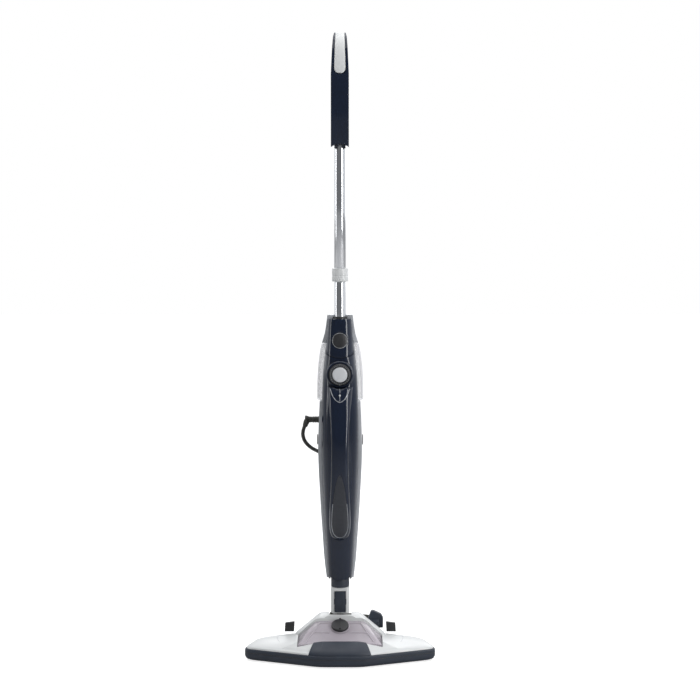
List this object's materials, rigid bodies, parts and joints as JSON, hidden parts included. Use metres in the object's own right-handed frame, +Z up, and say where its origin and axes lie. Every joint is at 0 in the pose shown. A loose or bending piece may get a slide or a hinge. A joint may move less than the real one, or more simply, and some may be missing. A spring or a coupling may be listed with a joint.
{
  "type": "steam mop",
  "caption": "Upright steam mop with a delta floor head on a swivelling neck, handheld body with carry handle, clear water tank, two-piece pole, loop handle and mains cord.",
  "frame": {"origin": "on the floor under the middle of the object's box, without its cord", "axes": "+Z up along the pole, -Y towards the front of the head, +X to the right seen from the front"},
  "size_m": [0.3516, 0.3008, 1.1577],
  "materials": {
    "navy_gloss": "high-gloss moulded ABS, dark navy",
    "navy_matte": "fine-textured moulded plastic, dark navy grey",
    "white_plastic": "satin white moulded ABS",
    "silver_plastic": "silver-grey painted plastic, satin",
    "charcoal_plastic": "textured black moulded plastic",
    "cord_rubber": "soft charcoal PVC",
    "chrome": "polished tube",
    "steel": "zinc plated or stainless",
    "brass": "satin",
    "clear_plastic": "clear moulded plastic, faintly smoky",
    "clear_hose": "translucent silicone hose",
    "circuit_board": "green solder mask",
    "red_silicone": "silicone"
  },
  "bodies": {
    "body": {"front_shell": "navy_gloss", "neck_cover": "navy_gloss", "badge": "charcoal_plastic", "rear_shell": "silver_plastic", "carry_handle": "navy_gloss", "grip_insert": "charcoal_plastic", "indicator_shield": "navy_gloss", "indicator_lens": "white_plastic", "dial_bezel": "navy_gloss", "micro_switch": "charcoal_plastic", "circuit_board": "circuit_board", "pump": "charcoal_plastic", "boiler": "steel", "thermostat": "brass", "supply_hose": "clear_hose", "pump_hose": "clear_hose", "steam_tube": "red_silicone", "nozzle_collar": "navy_matte", "pole_socket": "charcoal_plastic", "strain_relief": "cord_rubber", "shell_clip_left": "charcoal_plastic", "shell_clip_right": "charcoal_plastic", "lower_cord_hook": "charcoal_plastic", "shell_screw_1": "steel", "shell_screw_2": "steel", "shell_screw_3": "steel", "cord_run": "cord_rubber", "cord_coil": "cord_rubber", "cord_tie": "charcoal_plastic", "plug": "cord_rubber"},
    "steam_dial": {"steam_dial": "charcoal_plastic"},
    "steam_button": {"steam_button": "silver_plastic"},
    "water_tank": {"water_tank": "clear_plastic", "tank_valve": "charcoal_plastic"},
    "tank_cap": {"tank_cap": "charcoal_plastic"},
    "pole_lock_button": {"pole_lock_button": "charcoal_plastic"},
    "lower_pole": {"lower_tube": "chrome", "pole_collar": "white_plastic"},
    "cord_hook": {"upper_cord_hook": "charcoal_plastic"},
    "upper_pole": {"upper_tube": "chrome", "handle_front": "navy_gloss", "handle_rear": "navy_gloss", "handle_insert": "white_plastic", "handle_screw": "steel"},
    "neck": {"neck_housing": "white_plastic", "neck_seal": "red_silicone", "swivel_pin": "steel"},
    "latch_button": {"latch_button": "navy_matte"},
    "swivel": {"swivel_block": "charcoal_plastic", "tilt_pin": "steel"},
    "head": {"head_base": "navy_matte", "sole_plate": "charcoal_plastic", "steam_manifold": "steel", "head_shell": "white_plastic", "front_plate": "navy_matte"},
    "detergent_tank": {"detergent_tank": "clear_plastic"},
    "detergent_cap": {"detergent_cap": "charcoal_plastic"},
    "foot_pedal": {"foot_pedal": "navy_matte"},
    "pad_clip_left": {"pad_clip_left": "charcoal_plastic"},
    "pad_clip_right": {"pad_clip_right": "charcoal_plastic"}
  },
  "joints": [
    {"name": "dial_turn", "type": "hinge", "parent": "body", "child": "steam_dial", "pos_m": [0, 0, 0.529], "axis": [0, -1, 0], "range_deg": [0, 180]},
    {"name": "button_press", "type": "slide", "parent": "body", "child": "steam_button", "axis": [0, 1, 0], "range_m": [0, 0.003], "stiffness_N_per_m": 900},
    {"name": "water_tank_pull", "type": "slide", "parent": "body", "child": "water_tank", "axis": [0, 1, 0], "range_m": [0, 0.07]},
    {"name": "tank_cap_turn", "type": "hinge", "parent": "water_tank", "child": "tank_cap", "pos_m": [0, 0.076, 0.545], "axis": [0, 1, 0], "range_deg": [0, 90]},
    {"name": "pole_lock_press", "type": "slide", "parent": "body", "child": "pole_lock_button", "axis": [0, -1, 0], "range_m": [0, 0.003], "stiffness_N_per_m": 900},
    {"name": "pole_lift", "type": "slide", "parent": "body", "child": "lower_pole", "axis": [0, 0, 1], "range_m": [0, 0.085]},
    {"name": "cord_hook_turn", "type": "hinge", "parent": "lower_pole", "child": "cord_hook", "pos_m": [0, 0.0302, 0.709], "axis": [0, 1, 0], "range_deg": [0, 180]},
    {"name": "handle_lift", "type": "slide", "parent": "lower_pole", "child": "upper_pole", "axis": [0, 0, 1], "range_m": [0, 0.03]},
    {"name": "neck_release", "type": "slide", "parent": "body", "child": "neck", "axis": [0, 0, -1], "range_m": [0, 0.045]},
    {"name": "latch_press", "type": "slide", "parent": "neck", "child": "latch_button", "axis": [0, 1, 0], "range_m": [0, 0.0024], "stiffness_N_per_m": 900},
    {"name": "neck_swivel", "type": "hinge", "parent": "neck", "child": "swivel", "pos_m": [0, 0.015, 0.08], "axis": [0, 1, 0], "range_deg": [-22, 22]},
    {"name": "head_tilt", "type": "hinge", "parent": "swivel", "child": "head", "pos_m": [0, 0.015, 0.057], "axis": [1, 0, 0], "range_deg": [0, 70]},
    {"name": "detergent_tank_lift", "type": "slide", "parent": "head", "child": "detergent_tank", "axis": [0, 0, 1], "range_m": [0, 0.04]},
    {"name": "detergent_cap_turn", "type": "hinge", "parent": "detergent_tank", "child": "detergent_cap", "pos_m": [0, -0.024, 0.05689], "axis": [0, -0.4192, 0.9079], "range_deg": [0, 90]},
    {"name": "pedal_press", "type": "hinge", "parent": "head", "child": "foot_pedal", "pos_m": [0.066, 0.054, 0.041], "axis": [-1, 0, 0], "range_deg": [0, 8], "stiffness_Nm_per_rad": 1.5},
    {"name": "left_clip_open", "type": "hinge", "parent": "head", "child": "pad_clip_left", "pos_m": [-0.097, 0.036, 0.0335], "axis": [-1, 0, 0], "range_deg": [0, 30], "stiffness_Nm_per_rad": 0.3},
    {"name": "right_clip_open", "type": "hinge", "parent": "head", "child": "pad_clip_right", "pos_m": [0.097, 0.036, 0.0335], "axis": [-1, 0, 0], "range_deg": [0, 30], "stiffness_Nm_per_rad": 0.3}
  ]
}
